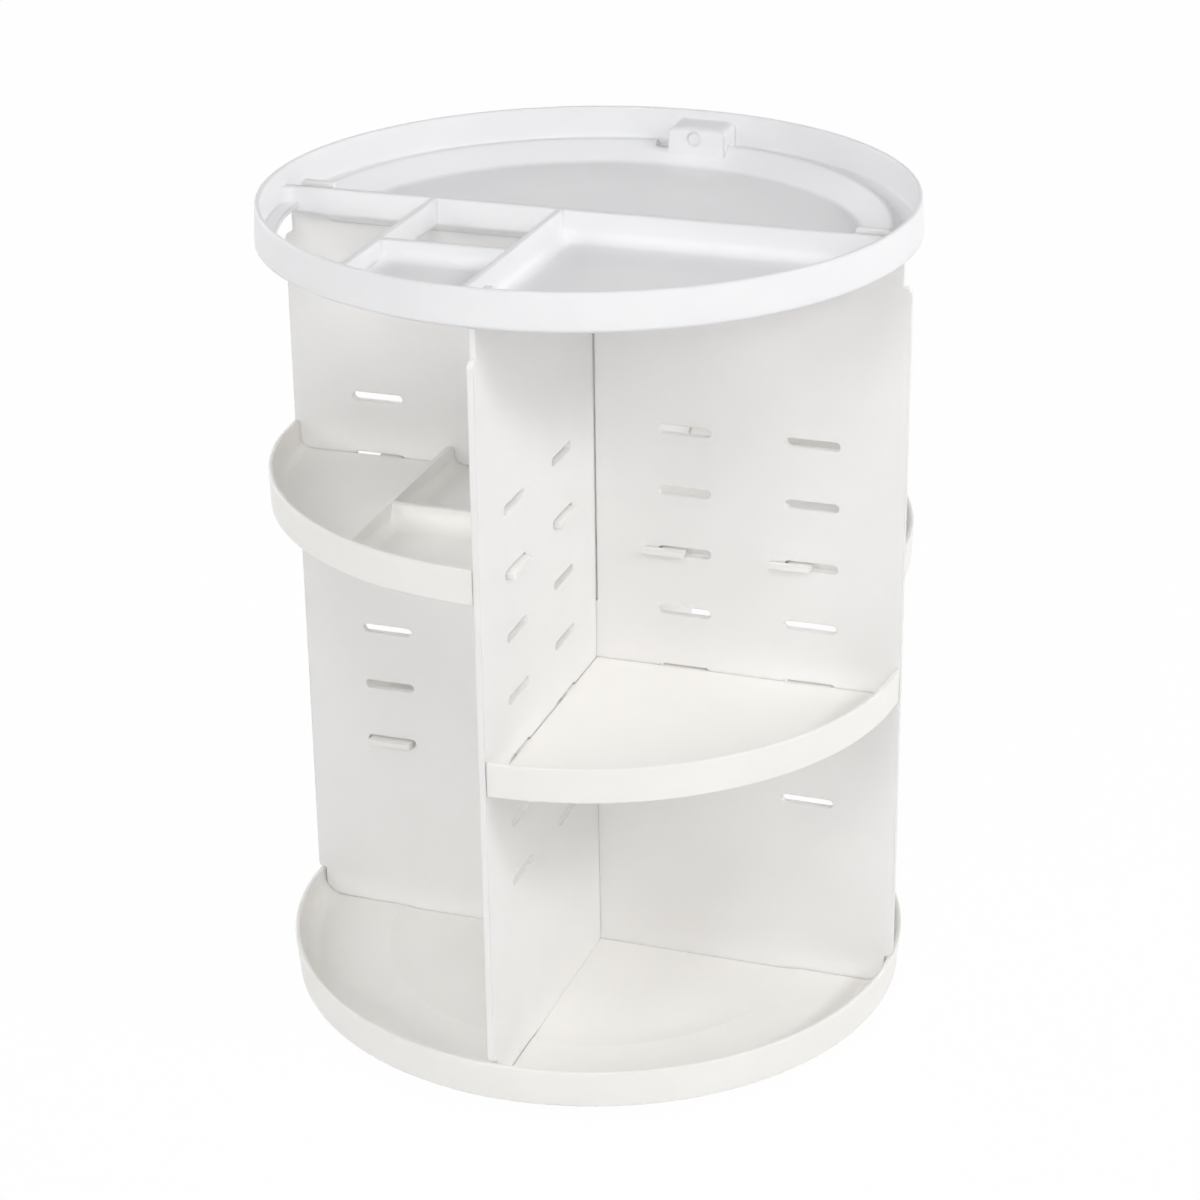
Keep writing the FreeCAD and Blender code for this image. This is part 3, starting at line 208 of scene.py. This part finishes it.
def moulded_polypropylene(name, white, edge_round, settings):
    """Injection-moulded polypropylene, satin mould: white with a slight see-through glow,
    a soft wide highlight, shallow waves from the flow and edges that catch the light."""
    material, tree, shader = new_material(name)
    where = add_node(tree, "ShaderNodeTexCoord").outputs["Object"]
    colour = mottled(tree, where, settings.flow_length, shifted(white, 0.975), linear(white))
    tree.links.new(colour, shader.inputs["Base Color"])
    rub = add_node(tree, "ShaderNodeTexNoise", {"Vector": where},
                   {"Scale": 1 / settings.rub_size, "Detail": 4.0, "Roughness": 0.6})
    gloss = add_node(tree, "ShaderNodeMapRange", {"Value": rub.outputs["Fac"]},
                     {"To Min": 0.36, "To Max": 0.50})
    tree.links.new(gloss.outputs["Result"], shader.inputs["Roughness"])
    edge = add_node(tree, "ShaderNodeBevel", values={"Radius": edge_round}, samples=BEVEL_SAMPLES)
    wave = add_node(tree, "ShaderNodeTexNoise", {"Vector": where},
                    {"Scale": 1 / settings.flow_length, "Detail": 1.0, "Roughness": 0.4})
    waved = add_node(tree, "ShaderNodeBump",
                     {"Height": wave.outputs["Fac"], "Normal": edge.outputs["Normal"]},
                     {"Strength": 1.0, "Distance": settings.flow_height})
    grain = add_node(tree, "ShaderNodeTexNoise", {"Vector": where},
                     {"Scale": 1 / settings.spark_grain, "Detail": 2.0, "Roughness": 0.5})
    grained = add_node(tree, "ShaderNodeBump",
                       {"Height": grain.outputs["Fac"], "Normal": waved.outputs["Normal"]},
                       {"Strength": 1.0, "Distance": settings.grain_height})
    tree.links.new(grained.outputs["Normal"], shader.inputs["Normal"])
    shader.inputs["IOR"].default_value = 1.49
    shader.inputs["Subsurface Weight"].default_value = 0.25
    shader.inputs["Subsurface Radius"].default_value = (1.0, 0.95, 0.9)
    shader.inputs["Subsurface Scale"].default_value = GLOW_DEPTH
    return material


def thermoplastic_rubber(settings):
    """Moulded thermoplastic rubber: dark, dull and finely pebbled."""
    material, tree, shader = new_material("thermoplastic_rubber")
    where = add_node(tree, "ShaderNodeTexCoord").outputs["Object"]
    colour = mottled(tree, where, RUBBER_PATCH, shifted(settings.rubber_grey, 0.8),
                     shifted(settings.rubber_grey, 1.15))
    tree.links.new(colour, shader.inputs["Base Color"])
    pebble = add_node(tree, "ShaderNodeTexVoronoi", {"Vector": where},
                      {"Scale": 1 / PEBBLE_SIZE})
    edge = add_node(tree, "ShaderNodeBevel", values={"Radius": settings.edge_round},
                    samples=BEVEL_SAMPLES)
    pebbled = add_node(tree, "ShaderNodeBump",
                       {"Height": pebble.outputs["Distance"], "Normal": edge.outputs["Normal"]},
                       {"Strength": 1.0, "Distance": PEBBLE_HEIGHT})
    tree.links.new(pebbled.outputs["Normal"], shader.inputs["Normal"])
    dull = add_node(tree, "ShaderNodeMapRange", {"Value": pebble.outputs["Distance"]},
                    {"To Min": 0.75, "To Max": 0.9})
    tree.links.new(dull.outputs["Result"], shader.inputs["Roughness"])
    shader.inputs["IOR"].default_value = 1.51
    return material


def natural_acetal(settings):
    """Moulded natural acetal: creamy, slick and a little see-through."""
    material, tree, shader = new_material("natural_acetal")
    where = add_node(tree, "ShaderNodeTexCoord").outputs["Object"]
    colour = mottled(tree, where, CAGE_PATCH, shifted(settings.cage_cream, 0.92),
                     linear(settings.cage_cream))
    tree.links.new(colour, shader.inputs["Base Color"])
    slick = add_node(tree, "ShaderNodeTexNoise", {"Vector": where}, {"Scale": 1 / SLICK_SIZE})
    gloss = add_node(tree, "ShaderNodeMapRange", {"Value": slick.outputs["Fac"]},
                     {"To Min": 0.28, "To Max": 0.42})
    tree.links.new(gloss.outputs["Result"], shader.inputs["Roughness"])
    shader.inputs["IOR"].default_value = 1.48
    shader.inputs["Subsurface Weight"].default_value = 0.2
    shader.inputs["Subsurface Scale"].default_value = CAGE_GLOW_DEPTH
    return material


def polished_steel(settings):
    """Ground and polished bearing steel: a mirror with the faintest haze."""
    material, tree, shader = new_material("polished_steel")
    where = add_node(tree, "ShaderNodeTexCoord").outputs["Object"]
    haze = add_node(tree, "ShaderNodeTexNoise", {"Vector": where}, {"Scale": 1 / HAZE_SIZE})
    colour = mottled(tree, where, BALL_PATCH, shifted(settings.steel_grey, 0.94),
                     linear(settings.steel_grey))
    tree.links.new(colour, shader.inputs["Base Color"])
    gloss = add_node(tree, "ShaderNodeMapRange", {"Value": haze.outputs["Fac"]},
                     {"To Min": 0.06, "To Max": 0.14})
    tree.links.new(gloss.outputs["Result"], shader.inputs["Roughness"])
    shader.inputs["Metallic"].default_value = 1.0
    return material


def zinc_plated_steel(settings):
    """Stamped and headed steel with bright zinc: grey, with turning rings about the pivot."""
    material, tree, shader = new_material("zinc_plated_steel")
    where = add_node(tree, "ShaderNodeTexCoord").outputs["Object"]
    rings = add_node(tree, "ShaderNodeTexWave", {"Vector": where},
                     {"Scale": WAVE_PERIOD / RING_SPACING, "Distortion": 0.6, "Detail": 2.0},
                     wave_type="RINGS", rings_direction="Z")
    colour = mottled(tree, where, ZINC_PATCH, shifted(settings.zinc_grey, 0.86),
                     shifted(settings.zinc_grey, 1.05))
    tree.links.new(colour, shader.inputs["Base Color"])
    gloss = add_node(tree, "ShaderNodeMapRange", {"Value": rings.outputs["Fac"]},
                     {"To Min": 0.28, "To Max": 0.44})
    tree.links.new(gloss.outputs["Result"], shader.inputs["Roughness"])
    edge = add_node(tree, "ShaderNodeBevel", values={"Radius": settings.edge_round / 2},
                    samples=BEVEL_SAMPLES)
    turned_face = add_node(tree, "ShaderNodeBump",
                           {"Height": rings.outputs["Fac"], "Normal": edge.outputs["Normal"]},
                           {"Strength": 1.0, "Distance": RING_HEIGHT})
    tree.links.new(turned_face.outputs["Normal"], shader.inputs["Normal"])
    shader.inputs["Metallic"].default_value = 1.0
    return material


def finish_nodes(names, material):
    """Give carried-over nodes their material in every slot."""
    for name in names:
        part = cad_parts[name]
        for slot in part.material_slots:
            slot.material = material


# ---------------------------------------------------------------- operators

class CAROUSEL_OT_panels(bpy.types.Operator):
    """Finish the two crossing slotted panels"""

    bl_idname = "carousel.panels"
    bl_label = "Cross panels"

    def execute(self, context):
        finish = context.scene.carousel_finish
        finish_nodes(PANELS, moulded_polypropylene("polypropylene_panels", finish.plain_white,
                                                   finish.edge_round, finish))
        return {"FINISHED"}


class CAROUSEL_OT_shelves(bpy.types.Operator):
    """Finish the four hook-in quarter shelves"""

    bl_idname = "carousel.shelves"
    bl_label = "Quarter shelves"

    def execute(self, context):
        finish = context.scene.carousel_finish
        # The shelves' white is lightened with painted bounce light.
        finish_nodes(SHELVES, moulded_polypropylene("polypropylene_shelves", finish.warm_white_plus_painted_bounce,
                                                    finish.edge_round, finish))
        return {"FINISHED"}


class CAROUSEL_OT_top_tray(bpy.types.Operator):
    """Finish the divided lift-off tray"""

    bl_idname = "carousel.top_tray"
    bl_label = "Top tray"

    def execute(self, context):
        finish = context.scene.carousel_finish
        finish_nodes(("top_tray",),
                     moulded_polypropylene("polypropylene_top_tray", finish.cool_white,
                                           finish.tray_round, finish))
        return {"FINISHED"}


class CAROUSEL_OT_base_tray(bpy.types.Operator):
    """Finish the turning base tray"""

    bl_idname = "carousel.base_tray"
    bl_label = "Base tray"

    def execute(self, context):
        finish = context.scene.carousel_finish
        # The base's white is lightened with painted light, which stands in for the floor's bounce
        # light.
        finish_nodes(BASE, moulded_polypropylene("polypropylene_base", finish.warm_white_plus_painted_bounce,
                                                 finish.edge_round, finish))
        return {"FINISHED"}


class CAROUSEL_OT_turntable(bpy.types.Operator):
    """Finish the turntable's feet, balls, cage, screw and washer"""

    bl_idname = "carousel.turntable"
    bl_label = "Turntable"

    def execute(self, context):
        finish = context.scene.carousel_finish
        finish_nodes(RUBBER_FEET, thermoplastic_rubber(finish))
        finish_nodes(("ball_cage",), natural_acetal(finish))
        finish_nodes(("bearing_balls",), polished_steel(finish))
        finish_nodes(("pivot_washer", "pivot_screw"), zinc_plated_steel(finish))
        return {"FINISHED"}


class CAROUSEL_OT_stage(bpy.types.Operator):
    """Set up the floor, the soft light and the camera"""

    bl_idname = "carousel.stage"
    bl_label = "Stage"

    def execute(self, context):
        stage = context.scene.carousel_stage
        make_floor(stage)
        make_room_light(context.scene, stage)
        middle = Vector((0, 0, stage.target_height))
        for name, (azimuth, elevation, size, power) in LAMPS.items():
            place = middle + LAMP_DISTANCE * turned(math.radians(azimuth),
                                                    math.radians(elevation))
            make_soft_lamp(name, place, middle, size, power * stage.lamp_level)
        make_camera(context.scene, stage)
        context.scene.view_settings.view_transform = "Standard"
        return {"FINISHED"}


def turned(azimuth, elevation):
    """The direction towards a place turned from the front to the right and raised."""
    return Vector((math.sin(azimuth) * math.cos(elevation),
                   -math.cos(azimuth) * math.cos(elevation), math.sin(elevation)))


def seen_directly(tree):
    """1 for what the camera sees, also in a gloss or through a clear piece, and 0 for light."""
    path = add_node(tree, "ShaderNodeLightPath")
    gloss = add_node(tree, "ShaderNodeMath", operation="MAXIMUM")
    tree.links.new(path.outputs["Is Camera Ray"], gloss.inputs[0])
    tree.links.new(path.outputs["Is Glossy Ray"], gloss.inputs[1])
    clear = add_node(tree, "ShaderNodeMath", operation="MAXIMUM")
    tree.links.new(gloss.outputs["Value"], clear.inputs[0])
    tree.links.new(path.outputs["Is Transmission Ray"], clear.inputs[1])
    return clear.outputs["Value"]


def make_floor(stage):
    """A plain white floor that reaches past the frame on every side and keeps the shadow."""
    mesh = bpy.data.meshes.new("floor")
    grid = bmesh.new()
    bmesh.ops.create_grid(grid, x_segments=FLOOR_CELLS, y_segments=FLOOR_CELLS,
                          size=stage.floor_size / 2)
    grid.to_mesh(mesh)
    grid.free()
    floor = bpy.data.objects.new("floor", mesh)
    bpy.context.scene.collection.objects.link(floor)
    material, tree, shader = new_material("floor_paint")
    where = add_node(tree, "ShaderNodeTexCoord").outputs["Object"]
    colour = mottled(tree, where, FLOOR_PATCH, linear("#FBFBFB"), linear("#FFFFFF"))
    tree.links.new(colour, shader.inputs["Base Color"])
    shader.inputs["Roughness"].default_value = 0.9
    shader.inputs["Specular IOR Level"].default_value = 0.1
    white = add_node(tree, "ShaderNodeEmission", values={"Strength": 1.0})
    share = add_node(tree, "ShaderNodeMath", operation="MULTIPLY")
    tree.links.new(seen_directly(tree), share.inputs[0])
    share.inputs[1].default_value = stage.floor_glow
    mix = add_node(tree, "ShaderNodeMixShader", {"Fac": share.outputs["Value"]})
    tree.links.new(shader.outputs["BSDF"], mix.inputs[1])
    tree.links.new(white.outputs["Emission"], mix.inputs[2])
    output = next(node for node in tree.nodes if node.type == "OUTPUT_MATERIAL")
    tree.links.new(mix.outputs["Shader"], output.inputs["Surface"])
    mesh.materials.append(material)


def make_room_light(scene, stage):
    """Even light from all round, and pure white where the camera sees past the floor."""
    world = bpy.data.worlds.new("room")
    world.use_nodes = True
    tree = world.node_tree
    tree.nodes.clear()
    light = add_node(tree, "ShaderNodeBackground", values={"Color": (1.0, 1.0, 1.0, 1.0),
                                                           "Strength": stage.room_light})
    white = add_node(tree, "ShaderNodeBackground", values={"Color": (1.0, 1.0, 1.0, 1.0),
                                                           "Strength": 1.0})
    mix = add_node(tree, "ShaderNodeMixShader", {"Fac": seen_directly(tree)})
    tree.links.new(light.outputs["Background"], mix.inputs[1])
    tree.links.new(white.outputs["Background"], mix.inputs[2])
    add_node(tree, "ShaderNodeOutputWorld", {"Surface": mix.outputs["Shader"]})
    scene.world = world


def make_soft_lamp(name, place, target, size, power):
    """A square area lamp that looks at a point."""
    lamp = bpy.data.lights.new(name, "AREA")
    lamp.shape = "SQUARE"
    lamp.size = size
    lamp.energy = power
    holder = bpy.data.objects.new(name, lamp)
    holder.location = place
    holder.rotation_mode = "QUATERNION"
    holder.rotation_quaternion = (target - place).to_track_quat("-Z", "Y")
    bpy.context.scene.collection.objects.link(holder)


def make_camera(scene, stage):
    """The camera, turned round the carousel, with its small roll and shift."""
    lens = bpy.data.cameras.new("camera")
    lens.lens = stage.focal_length
    lens.sensor_width = SENSOR_WIDTH
    lens.shift_x = stage.shift_x
    lens.shift_y = stage.shift_y
    lens.clip_start = 0.05
    lens.clip_end = 50.0
    camera = bpy.data.objects.new("camera", lens)
    back = turned(stage.azimuth, stage.elevation)
    turn = (-back).to_track_quat("-Z", "Y").to_matrix() @ Matrix.Rotation(stage.roll, 3, "Z")
    camera.rotation_mode = "QUATERNION"
    camera.rotation_quaternion = turn.to_quaternion()
    camera.location = Vector((0, 0, stage.target_height)) + back * stage.distance
    scene.collection.objects.link(camera)
    scene.camera = camera


# ---------------------------------------------------------------- panel and registration

STEPS = (CAROUSEL_OT_base_tray, CAROUSEL_OT_turntable, CAROUSEL_OT_panels,
         CAROUSEL_OT_shelves, CAROUSEL_OT_top_tray, CAROUSEL_OT_stage)


class CAROUSEL_PT_build(bpy.types.Panel):
    """The carousel's steps, in the order in which they are made"""

    bl_idname = "CAROUSEL_PT_build"
    bl_label = "Make-up carousel"
    bl_space_type = "VIEW_3D"
    bl_region_type = "UI"
    bl_category = "Carousel"

    def draw(self, context):
        for step in STEPS:
            self.layout.operator(step.bl_idname)


CLASSES = (FinishSettings, StageSettings) + STEPS + (CAROUSEL_PT_build,)


def register():
    for kind in CLASSES:
        bpy.utils.register_class(kind)
    bpy.types.Scene.carousel_finish = PointerProperty(type=FinishSettings)
    bpy.types.Scene.carousel_stage = PointerProperty(type=StageSettings)


def unregister():
    del bpy.types.Scene.carousel_stage
    del bpy.types.Scene.carousel_finish
    for kind in reversed(CLASSES):
        bpy.utils.unregister_class(kind)


def main():
    """Register the classes and run every step."""
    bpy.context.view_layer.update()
    register()
    for step in STEPS:
        group, action = step.bl_idname.split(".")
        getattr(getattr(bpy.ops, group), action)()


if __name__ == "__main__":
    main()
